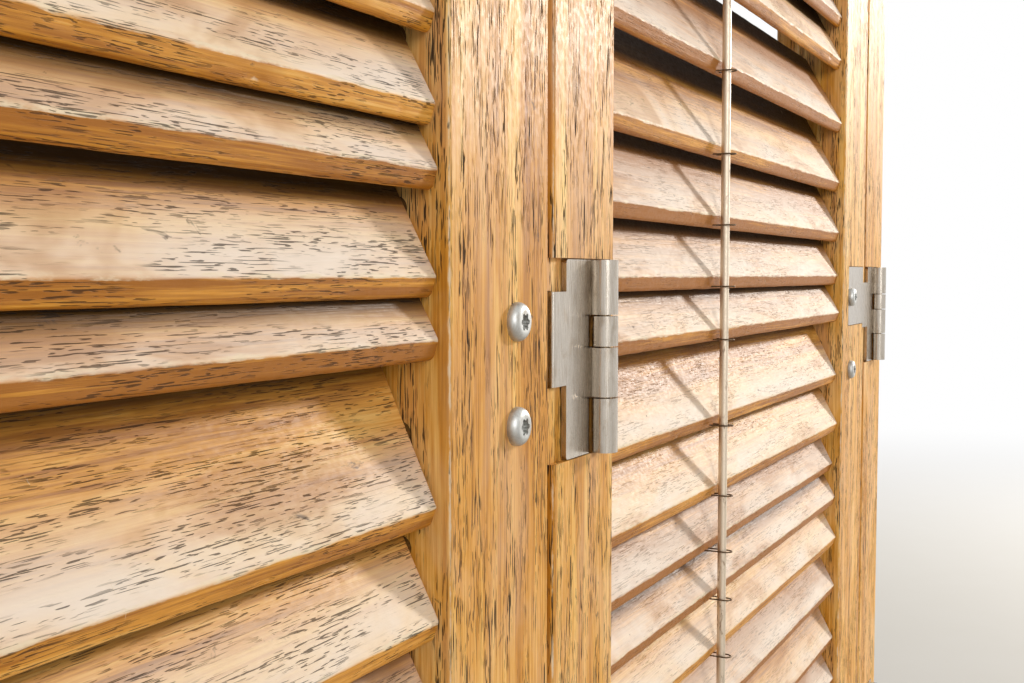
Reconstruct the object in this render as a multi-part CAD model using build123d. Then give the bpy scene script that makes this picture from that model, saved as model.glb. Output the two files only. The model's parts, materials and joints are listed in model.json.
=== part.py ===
from build123d import *
import os
from math import sin, cos, radians

os.makedirs("parts", exist_ok=True)

# Two-leaf louvred shutter in its frame, closed.
# X runs along the shutter, the outside faces -Y, Z is up, millimetres.
# The origin is the centre of the four fixing holes, on the frame's back face.

# Frame
frame_depth = 45.0
jamb_width = 45.0
head_height = 50.0
stop_width = 12.0
stop_gap = 1.0
frame_tenon_length = 25.0
frame_tenon_thickness = 12.0
frame_tenon_shoulder = 8.0
fixing_hole_diameter = 6.0
fixing_head_diameter = 12.0
fixing_inset = 10.0
fixing_end_distance = 90.0

# Leaves
leaf_width = 380.0
leaf_height = 534.0
leaf_thickness = 24.0
left_leaf_outer_stile = 47.0
left_leaf_fold_stile = 47.0
right_leaf_fold_stile = 38.0
right_leaf_hinge_stile = 50.0
rail_height = 53.0
leaf_gap = 2.8
head_gap = 3.0
leaf_tenon_length = 30.0
leaf_tenon_thickness = 8.0
leaf_tenon_shoulder = 10.0
arris = 1.0

# Slats
slat_count = 18
slat_thickness = 5.2
slat_face = 40.0
slat_tilt = 62.0
slat_arris = 0.8
slat_tip_round = 1.6
slat_end_gap = 0.8
slat_clearance = 0.35
slat_top_room = 20.6
slat_bottom_room = 29.4
pivot_depth = 12.3
pivot_diameter = 5.0
pivot_length = 8.0
pivot_hole_extra = 1.0
running_gap = 0.05

# Control rods
rod_diameter = 3.0
rod_clearance = 0.5
rod_place = 0.358
rod_overrun = 6.0
rod_end_gap = 1.0

# Hinges
hinge_height = 50.0
fold_hinge_end = 72.0
jamb_hinge_end = 37.0
plate_thickness = 1.4
plate_width = 18.2
barrel_diameter = 7.5
barrel_inset = 25.6
knuckle_heights = (14.2, 7.8, 12.8, 14.2)
knuckle_cut = 0.4
pin_diameter = 3.6
narrow_width = 9.5
web_inset = 0.4
neck_drop = 8.0
neck_height = 23.3
tang_length = 26.0
tang_height = 37.0
strap_start = 3.0
strap_length = 35.0
strap_height = 29.0
mortise_gap = 0.3
plate_corner = 1.0

# Screws
screw_inset = 17.3
screw_drops = (14.5, 38.4)
strap_screw_inset = 33.0
strap_screw_drops = (15.0, 51.2)
strap_shank_length = 7.0
pan_diameter = 9.0
pan_height = 2.5
shank_diameter = 4.0
shank_length = 17.0
star_radius = 2.1
star_lobe = 0.55
star_depth = 1.3
flush_diameter = 4.4
flush_shank = 2.4
flush_length = 6.0
flush_offset = 6.5
flush_spacing = 30.0
screw_gap = 0.1

# Each slat's pivot stands off an even ladder by this much, from the top slat down:
# up, and inward from the face, in slat thicknesses, and its tilt in degrees.
left_slats = [
    (0.00, 0.06, 0), (-0.67, -0.04, 1), (-1.44, 0.04, -1), (-2.21, 0.00, 0), (-3.04, 0.15, -1),
    (-2.31, 0.10, 0), (-0.58, 0.00, 0), (-0.52, 0.10, 0), (1.25, 0.00, 0), (-1.06, -0.04, 3),
    (-1.46, -0.02, 1), (-1.25, 0.08, 0), (-0.77, 0.00, -1), (-0.38, 0.04, 0), (-0.19, 0.10, 1),
    (0.10, 0.00, 0), (-0.10, 0.06, -1), (0.00, 0.00, 0),
]
right_slats = [
    (0.00, 0.04, 0), (0.96, 0.00, 1), (1.83, 0.08, 0), (2.23, 0.04, 1), (0.65, 0.00, -1),
    (-0.46, 0.10, 0), (-0.81, 0.02, 1), (-0.56, 0.12, 0), (0.23, 0.00, -1), (-1.19, 0.06, 2),
    (-1.58, 0.00, 0), (-1.06, 0.35, 1), (-0.02, 0.06, 0), (0.42, 0.00, -1), (0.12, 0.04, 0),
    (-0.58, 0.08, 1), (-0.29, 0.00, 0), (0.00, 0.04, 0),
]

# Places that follow from the sizes
front = -frame_depth
leaf_back = front + leaf_thickness
stop_depth = frame_depth - leaf_thickness - stop_gap
opening_half = leaf_width + 1.5 * leaf_gap
frame_half = opening_half + jamb_width
opening_half_height = leaf_height / 2 + head_gap
frame_half_height = opening_half_height + head_height
left_leaf_x = (-opening_half + leaf_gap, -leaf_gap / 2)
right_leaf_x = (leaf_gap / 2, opening_half - leaf_gap)
louvre_half = leaf_height / 2 - rail_height
slat_pitch = (2 * louvre_half - slat_top_room - slat_bottom_room) / (slat_count - 1)
fold_axis_x = right_leaf_x[0] + barrel_inset
jamb_axis_x = opening_half + barrel_inset
fold_levels = (leaf_height / 2 - fold_hinge_end, 0.0, fold_hinge_end - leaf_height / 2)
jamb_levels = (leaf_height / 2 - jamb_hinge_end, 0.0, jamb_hinge_end - leaf_height / 2)
barrel_radius = barrel_diameter / 2
barrel_y = front - (barrel_radius - plate_thickness)
rod_radius = rod_diameter / 2


def bar(x0, x1, y0, y1, z0, z1):
    """A square-edged block between the given limits."""
    block = Box(x1 - x0, y1 - y0, z1 - z0, align=(Align.MIN, Align.MIN, Align.MIN))
    return Pos(x0, y0, z0) * block


def eased(block, axis, radius=arris):
    """The block with its long arrises taken off."""
    return fillet(block.edges().filter_by(axis), radius)


def rod_along(axis, x, y, z, radius, length):
    """A cylinder that starts at a point and runs along +X, +Y or +Z."""
    turn = {"x": Rot(0, 90, 0), "y": Rot(-90, 0, 0), "z": Rot(0, 0, 0)}[axis]
    return Pos(x, y, z) * turn * Cylinder(radius, length, align=(Align.CENTER, Align.CENTER, Align.MIN))


def save(shape, name):
    """Writes one sub-part."""
    export_step(shape, "parts/" + name + ".step")


def as_group(solids):
    """Separate like pieces in one sub-part."""
    return Compound(children=list(solids))


# Slats: a parallelogram in section, with its front and back edges cut at 45 degrees.

def slat_section_point(along, out, tilt):
    """World (y, z) offset from the pivot of a point of the section.

    along runs down the face to the front edge and out is square to the face.
    """
    a = radians(tilt)
    return (-along * cos(a) - out * sin(a), -along * sin(a) + out * cos(a))


def tip_offset(tilt):
    """Offset from the pivot to the front arris that stands furthest out."""
    return slat_section_point(slat_face / 2 - slat_thickness / 2, slat_thickness / 2, tilt)


def slat_places(rows):
    """Pivot (y, z) and tilt of each slat, from the top down.

    A slat that would sink into the one below it is lifted until it lies on it.
    """
    places = []
    for number in reversed(range(slat_count)):
        lift, inward, turn = rows[number % len(rows)]
        z = louvre_half - slat_top_room - slat_pitch * number + lift * slat_thickness
        y = front + pivot_depth + inward * slat_thickness
        tilt = slat_tilt + turn
        if places:
            below_y, below_z, below_tilt = places[-1]
            lean = radians((tilt + below_tilt) / 2)
            spread = (slat_face + slat_thickness) / 2 * sin(radians(abs(tilt - below_tilt)))
            room = slat_thickness + slat_clearance + spread
            z = max(z, below_z + (room + (y - below_y) * sin(lean)) / cos(lean))
        places.append((y, z, tilt))
    return places[::-1]


def slat_section(tilt):
    """The section as a face in the YZ plane, about the pivot."""
    half, lead, skin = slat_face / 2, slat_thickness / 2, slat_thickness / 2
    corners = [(half - lead, skin), (half + lead, -skin), (-half + lead, -skin), (-half - lead, skin)]
    points = [slat_section_point(along, out, tilt) for along, out in corners]
    outline = Plane.YZ * Polyline(*points, close=True)
    return make_face(outline)


def slat(x0, x1, y, z, tilt):
    """One slat with the round pivots turned on its ends."""
    blade = extrude(slat_section(tilt), x1 - x0 - 2 * slat_end_gap, dir=(1, 0, 0))
    long_edges = blade.edges().filter_by(Axis.X)
    sharp = [edge for edge in long_edges if abs(edge.center().Z) > slat_face / 2 * sin(radians(tilt))]
    blunt = [edge for edge in long_edges if edge not in sharp]
    blade = fillet(sharp, slat_tip_round)
    blunt = [
        edge for edge in blade.edges().filter_by(Axis.X)
        if any((edge.center() - old.center()).length < 0.01 for old in blunt)
    ]
    blade = Pos(x0 + slat_end_gap, y, z) * fillet(blunt, slat_arris)
    for start in (x0 - pivot_length, x1 - slat_end_gap):
        blade += rod_along("x", start, y, z, pivot_diameter / 2, pivot_length + slat_end_gap)
    return blade


# Leaves

def stile(x0, x1, pivot_edges, places):
    """An upright of a leaf, with the pivot holes in its louvre side and the rail mortises."""
    post = eased(bar(x0, x1, front, leaf_back, -leaf_height / 2, leaf_height / 2), Axis.Z)
    inner_x, outward = pivot_edges
    depth = pivot_length + pivot_hole_extra
    start = inner_x if outward > 0 else inner_x - depth
    for y, z, tilt in places:
        post -= rod_along("x", start, y, z, pivot_diameter / 2 + running_gap, depth)
    mortise_start = inner_x if outward > 0 else inner_x - leaf_tenon_length
    for side in (1, -1):
        z0, z1 = tenon_heights(side)
        y0, y1 = tenon_depths()
        post -= bar(mortise_start, mortise_start + leaf_tenon_length, y0, y1, z0, z1)
    return post


def tenon_depths():
    """Front and back of a rail's tenon."""
    middle = front + leaf_thickness / 2
    return middle - leaf_tenon_thickness / 2, middle + leaf_tenon_thickness / 2


def tenon_heights(side):
    """Bottom and top of a rail's tenon, for the top rail (1) or the bottom rail (-1)."""
    low = louvre_half + leaf_tenon_shoulder
    high = leaf_height / 2 - leaf_tenon_shoulder
    return (low, high) if side > 0 else (-high, -low)


def rail(x0, x1, side):
    """A cross member of a leaf with a tenon at each end."""
    z0, z1 = (louvre_half, leaf_height / 2) if side > 0 else (-leaf_height / 2, -louvre_half)
    body = eased(bar(x0, x1, front, leaf_back, z0, z1), Axis.X)
    low, high = tenon_heights(side)
    y0, y1 = tenon_depths()
    return body + bar(x0 - leaf_tenon_length, x1 + leaf_tenon_length, y0, y1, low, high)


# Frame

def head_or_sill(side):
    """The top (1) or bottom (-1) member between the jambs, with its stop behind the leaves."""
    z_open, z_end = opening_half_height, frame_half_height
    front_part = bar(-opening_half, opening_half, front, -stop_depth, z_open, z_end)
    front_part = eased(front_part, Axis.X)
    inner = opening_half - stop_width
    stop = bar(-inner, inner, -stop_depth, 0, z_open - stop_width, z_end)
    y0, y1 = frame_tenon_depths()
    low, high = z_open + frame_tenon_shoulder, z_end - frame_tenon_shoulder
    reach = opening_half + frame_tenon_length
    member = front_part + stop + bar(-reach, reach, y0, y1, low, high)
    return member if side > 0 else Rot(0, 180, 0) * member


def frame_tenon_depths():
    """Front and back of the tenons of the head and the sill."""
    middle = (front - stop_depth) / 2
    return middle - frame_tenon_thickness / 2, middle + frame_tenon_thickness / 2


def jamb():
    """The right-hand upright of the frame, with its stop, its mortises and the fixing holes."""
    height = frame_half_height
    post = eased(bar(opening_half, frame_half, front, 0, -height, height), Axis.Z)
    stop_x = opening_half - stop_width
    post += bar(stop_x, opening_half + arris, -stop_depth, 0, -height, height)
    y0, y1 = frame_tenon_depths()
    low = opening_half_height + frame_tenon_shoulder
    high = frame_half_height - frame_tenon_shoulder
    for z0, z1 in ((low, high), (-high, -low)):
        post -= bar(opening_half, opening_half + frame_tenon_length, y0, y1, z0, z1)
    for z in (fixing_z, -fixing_z):
        post -= rod_along("y", fixing_x, front - 1, z, fixing_hole_diameter / 2, frame_depth + 2)
        sink = (fixing_head_diameter - fixing_hole_diameter) / 2
        cone = Cone(fixing_head_diameter / 2, fixing_hole_diameter / 2, sink)
        post -= Pos(fixing_x, front + sink / 2, z) * Rot(-90, 0, 0) * cone
    return post


fixing_x = frame_half - fixing_inset
fixing_z = frame_half_height - fixing_end_distance


# Hinges, drawn about the barrel's axis at mid-height: the plates lie inward of the axis.

def knuckle_spans():
    """Bottom and top of each knuckle, from the top down, with the cuts between them."""
    scale = (hinge_height - 3 * knuckle_cut) / sum(knuckle_heights)
    spans, top = [], hinge_height / 2
    for height in knuckle_heights:
        spans.append((top - height * scale, top))
        top -= height * scale + knuckle_cut
    return spans


def knuckled(plate, own):
    """The plate with its knuckles, and with the room for those of the other leaf."""
    reach = barrel_radius + knuckle_cut
    for number, (low, high) in enumerate(knuckle_spans()):
        if number in own:
            plate += rod_along("z", 0, 0, low, barrel_radius, high - low)
        else:
            plate -= bar(-reach, reach, -reach, reach, low - knuckle_cut, high + knuckle_cut)
    bore = pin_diameter / 2 + running_gap
    return plate - rod_along("z", 0, 0, -hinge_height, bore, 2 * hinge_height)


def plate_back():
    return barrel_radius


def plate_front():
    return barrel_radius - plate_thickness


def neck_span():
    """Bottom and top of the neck."""
    top = hinge_height / 2 - neck_drop
    return top - neck_height, top


def tang_depths():
    """Front and back of the tang, at the middle of the leaf's thickness."""
    middle = plate_front() + leaf_thickness / 2
    return middle - plate_thickness / 2, middle + plate_thickness / 2


def main_plate():
    """The plate beside the barrel, with small rounds at its free corners."""
    half = hinge_height / 2
    plate = bar(-plate_width, 0, plate_front(), plate_back(), -half, half)
    return fillet(plate.edges().filter_by(Axis.Y).group_by(Axis.X)[0], plate_corner)


def long_leaf():
    """The wide leaf of a fold hinge: plate, neck, web down the stile's edge, tang in the next stile."""
    y0, y1 = plate_front(), plate_back()
    edge, web_x = -barrel_inset - leaf_gap, -barrel_inset + web_inset
    low, high = neck_span()
    tang_front, tang_back = tang_depths()
    strap = bar(web_x, -plate_width, y0, y1, low, high)
    strap += bar(web_x, web_x + plate_thickness, y0, tang_back, low, high)
    bend = strap.edges().filter_by(Axis.Z).group_by(Axis.X)[0].sort_by(Axis.Y)[0]
    strap = fillet(bend, plate_corner)
    strap += bar(edge, web_x, tang_front, tang_back, low, high)
    strap += bar(edge - tang_length, edge, tang_front, tang_back, high - tang_height, high)
    for drop in screw_drops:
        z = hinge_height / 2 - drop
        strap -= rod_along("y", edge - screw_inset, y0, z, shank_diameter / 2 + screw_gap, leaf_thickness)
    return knuckled(main_plate() + strap, (0, 2))


def strap_leaf():
    """The wide leaf of a jamb hinge: plate, neck, and a strap let into the leaf's face."""
    y0, y1 = plate_front(), plate_back()
    edge = -barrel_inset - leaf_gap
    strap_end = edge - strap_start
    low, high = neck_span()
    top = hinge_height / 2
    strap = bar(strap_end - strap_length, strap_end, y0, y1, top - strap_height, top)
    strap = fillet(strap.edges().filter_by(Axis.Y).group_by(Axis.X)[0], plate_corner)
    strap += bar(strap_end, -plate_width, y0, y1, low, high)
    hole_z = top - strap_screw_drops[0]
    strap -= rod_along("y", edge - strap_screw_inset, 0, hole_z, shank_diameter / 2 + screw_gap, leaf_thickness)
    return knuckled(main_plate() + strap, (0, 2))


def narrow_leaf():
    """The narrow hinge leaf beyond the barrel, with two countersunk holes."""
    half = hinge_height / 2
    plate = bar(0, narrow_width, plate_front(), plate_back(), -half, half)
    plate = fillet(plate.edges().filter_by(Axis.Y).group_by(Axis.X)[-1], plate_corner)
    for z in (flush_spacing / 2, -flush_spacing / 2):
        plate -= Pos(flush_offset, plate_front(), z) * flush_screw(screw_gap)
    return knuckled(plate, (1, 3))


def hinge_pin():
    """The pin through the knuckles."""
    return rod_along("z", 0, 0, -hinge_height / 2, pin_diameter / 2, hinge_height)


def plate_mortise():
    """What is cut from the face under the barrel and the plates."""
    half = hinge_height / 2 + mortise_gap
    reach = barrel_radius + mortise_gap
    edge = -barrel_inset - leaf_gap
    room = bar(edge, reach, -frame_depth, plate_back() + mortise_gap, -half, half)
    return room + bar(0, narrow_width + mortise_gap, -frame_depth, plate_back(), -half, half)


def web_notch():
    """What is cut from the stile's edge round the web of a fold hinge."""
    edge = -barrel_inset - leaf_gap
    low, high = neck_span()
    back_x = -barrel_inset + web_inset + plate_thickness + mortise_gap
    depth = tang_depths()[1] + mortise_gap
    return bar(edge, back_x, -frame_depth, depth, low - mortise_gap, high + mortise_gap)


def strap_seat():
    """What is cut from the leaf's face under the strap and neck of a jamb hinge."""
    edge = -barrel_inset - leaf_gap
    low, high = neck_span()
    top = hinge_height / 2
    strap_end = edge - strap_start
    seat = bar(
        strap_end - strap_length - mortise_gap, strap_end + mortise_gap, -frame_depth, plate_back(),
        top - strap_height - mortise_gap, top + mortise_gap)
    return seat + bar(strap_end, edge + 1, -frame_depth, plate_back(), low - mortise_gap, high + mortise_gap)


def tang_slot():
    """The saw slot in a stile's edge that takes the tang."""
    edge = -barrel_inset - leaf_gap
    top = neck_span()[1]
    y0, y1 = tang_depths()
    return bar(edge - tang_length - mortise_gap, edge + 1, y0, y1, top - tang_height, top)


# Screws: the head's seat is at y = 0 and the shank runs to +Y.

def pan_screw(length, gap=0.0):
    """A pan-head screw with a six-lobed recess, or with a gap the hole that it needs."""
    radius = shank_diameter / 2 + gap
    shank = rod_along("y", 0, 0, 0, radius, length)
    if gap:
        return shank
    shank = chamfer(shank.faces().sort_by(Axis.Y)[-1].edges(), radius * 0.8, radius * 0.8)
    head = rod_along("y", 0, -pan_height, 0, pan_diameter / 2, pan_height)
    head = fillet(head.faces().sort_by(Axis.Y)[0].edges(), pan_height * 0.8)
    star = rod_along("y", 0, -pan_height, 0, star_radius - star_lobe, star_depth)
    for lobe in range(6):
        a = radians(60 * lobe)
        place = (star_radius - star_lobe)
        star += rod_along("y", place * cos(a), -pan_height, place * sin(a), star_lobe, star_depth)
    return head + shank - star


def flush_screw(gap=0.0):
    """A small countersunk screw, or with a gap the hole that it needs."""
    head_radius, radius = flush_diameter / 2 + gap, flush_shank / 2 + gap
    drop = head_radius - radius
    cone = Pos(0, drop / 2, 0) * Rot(-90, 0, 0) * Cone(head_radius, radius, drop)
    return cone + rod_along("y", 0, 0, 0, radius, flush_length)


def at_hinges(line, shape):
    """The shape at each of the hinges of a barrel line; the plates lie flush with the face."""
    axis_x, levels = line
    return [Pos(axis_x, barrel_y, z) * shape for z in levels]


def pan_places(line, inset, drops):
    """Seats of the pan-head screws of a barrel line, measured from the leaf's edge and the hinge's top."""
    axis_x, levels = line
    x = axis_x - barrel_inset - leaf_gap - inset
    return [Pos(x, front, z + hinge_height / 2 - drop) for z in levels for drop in drops]


def flush_places(line):
    """Seats of the countersunk screws of a barrel line."""
    axis_x, levels = line
    offsets = (flush_spacing / 2, -flush_spacing / 2)
    return [Pos(axis_x + flush_offset, front, z + offset) for z in levels for offset in offsets]


def cut_all(body, cutters):
    """The body less each of the cutters."""
    for cutter in cutters:
        body -= cutter
    return body


def rod_line(x0, x1, places):
    """The control rod's (x, y) and its bottom and top, in front of the slats' front arrises."""
    tips = [(y + tip_offset(tilt)[0], z + tip_offset(tilt)[1]) for y, z, tilt in places]
    y = min(tip[0] for tip in tips) - rod_clearance - rod_radius
    heights = [tip[1] for tip in tips]
    low = max(min(heights) - rod_overrun, rod_end_gap - louvre_half)
    return x0 + (x1 - x0) * rod_place, y, low, max(heights) + rod_overrun


def control_rod(x0, x1, places):
    """The thin rod in front of the slats."""
    x, y, low, high = rod_line(x0, x1, places)
    return rod_along("z", x, y, low, rod_radius, high - low)


def build_leaf(side, x_span, outer_stile, inner_stile, rows):
    """Rails, slats and control rod of one leaf; the stiles are returned for their hinge cuts."""
    x0, x1 = x_span
    louvre_x = (x0 + outer_stile, x1 - inner_stile)
    places = slat_places(rows)
    save(rail(*louvre_x, 1), side + "_leaf_top_rail")
    save(rail(*louvre_x, -1), side + "_leaf_bottom_rail")
    for number, (y, z, tilt) in enumerate(places, start=1):
        save(slat(*louvre_x, y, z, tilt), f"{side}_slat_{number:02d}")
    save(control_rod(x0, x1, places), side + "_control_rod")
    first = stile(x0, louvre_x[0], (louvre_x[0], -1), places)
    second = stile(louvre_x[1], x1, (louvre_x[1], 1), places)
    return first, second


def build_hinges(line, name, wide_leaf):
    """Both leaves and the pins of the hinges of one barrel line."""
    save(as_group(at_hinges(line, wide_leaf)), name + "_long_leaves")
    save(as_group(at_hinges(line, narrow_leaf())), name + "_narrow_leaves")
    save(as_group(at_hinges(line, hinge_pin())), name + "_pins")


left_outer, left_fold = build_leaf(
    "left", left_leaf_x, left_leaf_outer_stile, left_leaf_fold_stile, left_slats)
right_fold, right_hinge = build_leaf(
    "right", right_leaf_x, right_leaf_fold_stile, right_leaf_hinge_stile, right_slats)

fold_line = (fold_axis_x, fold_levels)
jamb_line = (jamb_axis_x, jamb_levels)
fold_pans = pan_places(fold_line, screw_inset, screw_drops)
jamb_pans = pan_places(jamb_line, strap_screw_inset, strap_screw_drops)
fold_flush, jamb_flush = flush_places(fold_line), flush_places(jamb_line)
fold_hole = pan_screw(shank_length, screw_gap)
jamb_hole = pan_screw(strap_shank_length, screw_gap)
flush_hole = flush_screw(screw_gap)

left_fold = cut_all(left_fold, at_hinges(fold_line, tang_slot()))
left_fold = cut_all(left_fold, [place * fold_hole for place in fold_pans])
right_fold = cut_all(right_fold, at_hinges(fold_line, plate_mortise() + web_notch()))
right_fold = cut_all(right_fold, [place * flush_hole for place in fold_flush])
right_hinge = cut_all(right_hinge, at_hinges(jamb_line, strap_seat()))
right_hinge = cut_all(right_hinge, [place * jamb_hole for place in jamb_pans])
right_jamb = cut_all(jamb(), at_hinges(jamb_line, plate_mortise()))
right_jamb = cut_all(right_jamb, [place * flush_hole for place in jamb_flush])

save(left_outer, "left_leaf_outer_stile")
save(left_fold, "left_leaf_fold_stile")
save(right_fold, "right_leaf_fold_stile")
save(right_hinge, "right_leaf_hinge_stile")
save(right_jamb, "frame_right_jamb")
save(mirror(jamb(), Plane.YZ), "frame_left_jamb")
save(head_or_sill(1), "frame_head")
save(head_or_sill(-1), "frame_sill")

build_hinges(fold_line, "fold_hinge", long_leaf())
build_hinges(jamb_line, "jamb_hinge", strap_leaf())

save(as_group(place * pan_screw(shank_length) for place in fold_pans), "left_leaf_screws")
right_leaf_screws = [place * pan_screw(strap_shank_length) for place in jamb_pans]
right_leaf_screws += [place * flush_screw() for place in fold_flush]
save(as_group(right_leaf_screws), "right_leaf_screws")
save(as_group(place * flush_screw() for place in jamb_flush), "frame_screws")
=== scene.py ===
import json
import math

import bpy
import numpy as np
from bpy.props import FloatProperty, FloatVectorProperty, IntProperty, PointerProperty
from bpy.types import Operator, Panel, PropertyGroup
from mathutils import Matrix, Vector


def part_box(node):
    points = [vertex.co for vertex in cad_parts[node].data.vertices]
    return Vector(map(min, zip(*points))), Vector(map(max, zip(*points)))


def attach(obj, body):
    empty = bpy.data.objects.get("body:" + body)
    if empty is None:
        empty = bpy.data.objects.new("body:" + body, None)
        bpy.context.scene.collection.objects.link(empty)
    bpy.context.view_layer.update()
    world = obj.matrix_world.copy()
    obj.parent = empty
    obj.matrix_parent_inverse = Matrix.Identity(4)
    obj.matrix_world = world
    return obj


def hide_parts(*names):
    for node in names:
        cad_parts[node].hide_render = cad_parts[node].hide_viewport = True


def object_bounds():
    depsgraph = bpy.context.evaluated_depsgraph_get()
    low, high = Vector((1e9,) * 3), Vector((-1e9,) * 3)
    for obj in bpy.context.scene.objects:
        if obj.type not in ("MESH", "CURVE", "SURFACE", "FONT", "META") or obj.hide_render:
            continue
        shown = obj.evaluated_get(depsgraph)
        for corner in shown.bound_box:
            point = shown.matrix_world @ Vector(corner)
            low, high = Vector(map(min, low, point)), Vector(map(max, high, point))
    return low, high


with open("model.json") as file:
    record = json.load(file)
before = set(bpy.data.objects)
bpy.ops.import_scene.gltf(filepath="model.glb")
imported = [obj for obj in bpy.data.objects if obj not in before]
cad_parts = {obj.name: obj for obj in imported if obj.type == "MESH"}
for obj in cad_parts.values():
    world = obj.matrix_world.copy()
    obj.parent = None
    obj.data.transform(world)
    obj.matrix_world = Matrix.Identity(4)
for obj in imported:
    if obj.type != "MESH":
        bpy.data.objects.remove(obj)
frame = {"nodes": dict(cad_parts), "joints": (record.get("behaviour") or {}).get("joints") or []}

bl_info = {
    "name": "Louvred shutters",
    "version": (1, 0, 0),
    "blender": (4, 5, 0),
    "location": "3D View > Sidebar > Shutters",
    "description": "Weathered louvred shutters with tilting slats, control rods and barrel hinges",
    "category": "Object",
}

CAD_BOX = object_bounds()
NODES = frame["nodes"]
JOINTS = {joint["name"]: joint for joint in frame["joints"]}
SLATS = sorted(name for name in NODES if "_slat_" in name)
RODS = ("left_control_rod", "right_control_rod")
UPRIGHTS = ("left_leaf_outer_stile", "left_leaf_fold_stile", "right_leaf_fold_stile",
            "right_leaf_hinge_stile", "frame_left_jamb", "frame_right_jamb")
RAILS = ("left_leaf_top_rail", "left_leaf_bottom_rail", "right_leaf_top_rail",
         "right_leaf_bottom_rail", "frame_head", "frame_sill")
HINGES = ("fold_hinge_long_leaves", "fold_hinge_narrow_leaves",
          "jamb_hinge_long_leaves", "jamb_hinge_narrow_leaves")
PINS = ("fold_hinge_pins", "jamb_hinge_pins")
SCREWS = ("left_leaf_screws", "right_leaf_screws", "frame_screws")
MM = 0.001


def linear(colour):
    """An sRGB hex colour as linear RGBA: c / 12.92 up to 0.04045, else ((c + 0.055) / 1.055) ** 2.4."""
    channels = [int(colour[i:i + 2], 16) / 255 for i in (1, 3, 5)]
    light = [c / 12.92 if c <= 0.04045 else ((c + 0.055) / 1.055) ** 2.4 for c in channels]
    return (*light, 1.0)


def length_property(name, description, millimetres):
    """A length with its default in millimetres."""
    return FloatProperty(name=name, description=description, default=millimetres * MM, unit="LENGTH",
                         precision=5)


def colour_property(name, description, hex_colour):
    """A colour with its default as sRGB hex."""
    return FloatVectorProperty(name=name, description=description, default=linear(hex_colour), size=4,
                               subtype="COLOR", min=0, max=1)


class SlatSizes(PropertyGroup):
    """Sizes of the slats' section, ends and wear."""

    face: length_property("Face", "Width of a slat's sloping face", 40)
    thickness: length_property("Thickness", "Thickness of a slat", 5.2)
    crisp: length_property("Blunt arris", "Least radius of the two blunt arrises", 0.8)
    round: length_property("Sharp arris", "Radius of the two sharp arrises", 1.6)
    rub: length_property("Rub", "How much more wear rounds the front arris", 0.7)
    end_gap: length_property("End gap", "Room between a slat's end and its stile", 0.8)
    end_round: length_property("End rounding", "Radius round each end of a slat", 1.0)
    dent: length_property("Dent", "Depth of the deepest dents", 0.45)
    dents: IntProperty(name="Dents", description="Dents along a slat's front", default=26, min=0)
    pivot: length_property("Pivot", "Diameter of the turned pivots", 5)
    pivot_length: length_property("Pivot length", "How far a pivot goes into its stile", 8)
    stations: IntProperty(name="Stations", description="Sections along a slat", default=190, min=20)
    seed: IntProperty(name="Seed", description="Seed of the first slat's wear", default=11, min=0)


class RodEyeSizes(PropertyGroup):
    """Sizes of the wire eyes that hold the slats to the control rod."""

    wire: length_property("Wire", "Diameter of the wire", 0.5)
    room: length_property("Side room", "Room between the rod and a leg of the eye", 0.15)
    reach: length_property("Reach", "From the rod's middle to the middle of the wire in front of it", 3.5)
    lead: length_property("Lead", "How far the legs run straight in front of the rod's middle", 1.0)
    drop: length_property("Drop", "How far an eye stands below its slat's pivot", 17.7)
    bite: length_property("Bite", "How far a leg goes into the slat behind the rod's middle", 6.5)


class WoodLook(PropertyGroup):
    """Colours and real sizes of the weathered wood."""

    heart: colour_property("Heart", "Dark streaks of the figure", "#A5640A")
    gold: colour_property("Gold", "The varnished wood's own colour", "#DA962E")
    straw: colour_property("Straw", "Pale streaks of the figure", "#F9C76C")
    # On faces that face up this colour is also painted sunlight and sheen.
    bleached: colour_property("Bleached", "Sun-bleached wood under thin varnish", "#F7E7D6")
    # The pale arris colour is also a painted highlight; on scuffs it is only worn wood.
    bare_and_highlight: colour_property("Bare", "Rubbed arrises and scuffs", "#EEDBBA")
    pore: colour_property("Pore", "Dirt in the open pores", "#21170F")
    # Grime colour; below each slat above and on faces that face down it is also laid as painted shade.
    grime_and_shade: colour_property("Grime", "Dirt where rain doesn't wash", "#2E200E")
    figure_length: length_property("Figure length", "Length of the broad streaks", 150)
    figure_width: length_property("Figure width", "Width of the broad streaks", 6)
    fibre_length: length_property("Fibre length", "Length of the fine streaks", 26)
    fibre_width: length_property("Fibre width", "Width of the fine streaks", 0.7)
    pore_length: length_property("Pore length", "Spacing of the pores along the grain", 4.2)
    pore_width: length_property("Pore width", "Spacing of the pores across the grain", 0.34)
    pore_depth: length_property("Pore depth", "Depth of an open pore", 0.16)
    pitted_left: FloatProperty(name="Pitted left", description="Dirt in the pores of the left slats",
                               default=0.8, min=0, max=1)
    pitted_right: FloatProperty(name="Pitted right", description="Dirt in the pores of the right slats",
                                default=0.3, min=0, max=1)


class MetalLook(PropertyGroup):
    """Colours and real sizes of the hardware's finishes."""

    nickel: colour_property("Nickel", "Satin nickel of the hinges", "#BFB6AA")
    zinc: colour_property("Zinc", "Zinc plate of the screws", "#C2C3C0")
    galvanised: colour_property("Galvanised", "Dull zinc of the control rods", "#D6C7B2")
    oxide: colour_property("Oxide", "Brown film on the control rods", "#8A6F53")
    wire: colour_property("Wire", "Blackened wire of the eyes", "#64523F")
    tarnish: colour_property("Tarnish", "Brown tarnish on nickel and zinc", "#7F6C54")
    brush_length: length_property("Brush length", "Length of a brush mark", 7)
    brush_width: length_property("Brush width", "Width of a brush mark, twice the real one to show it",
                                 0.16)


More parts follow.
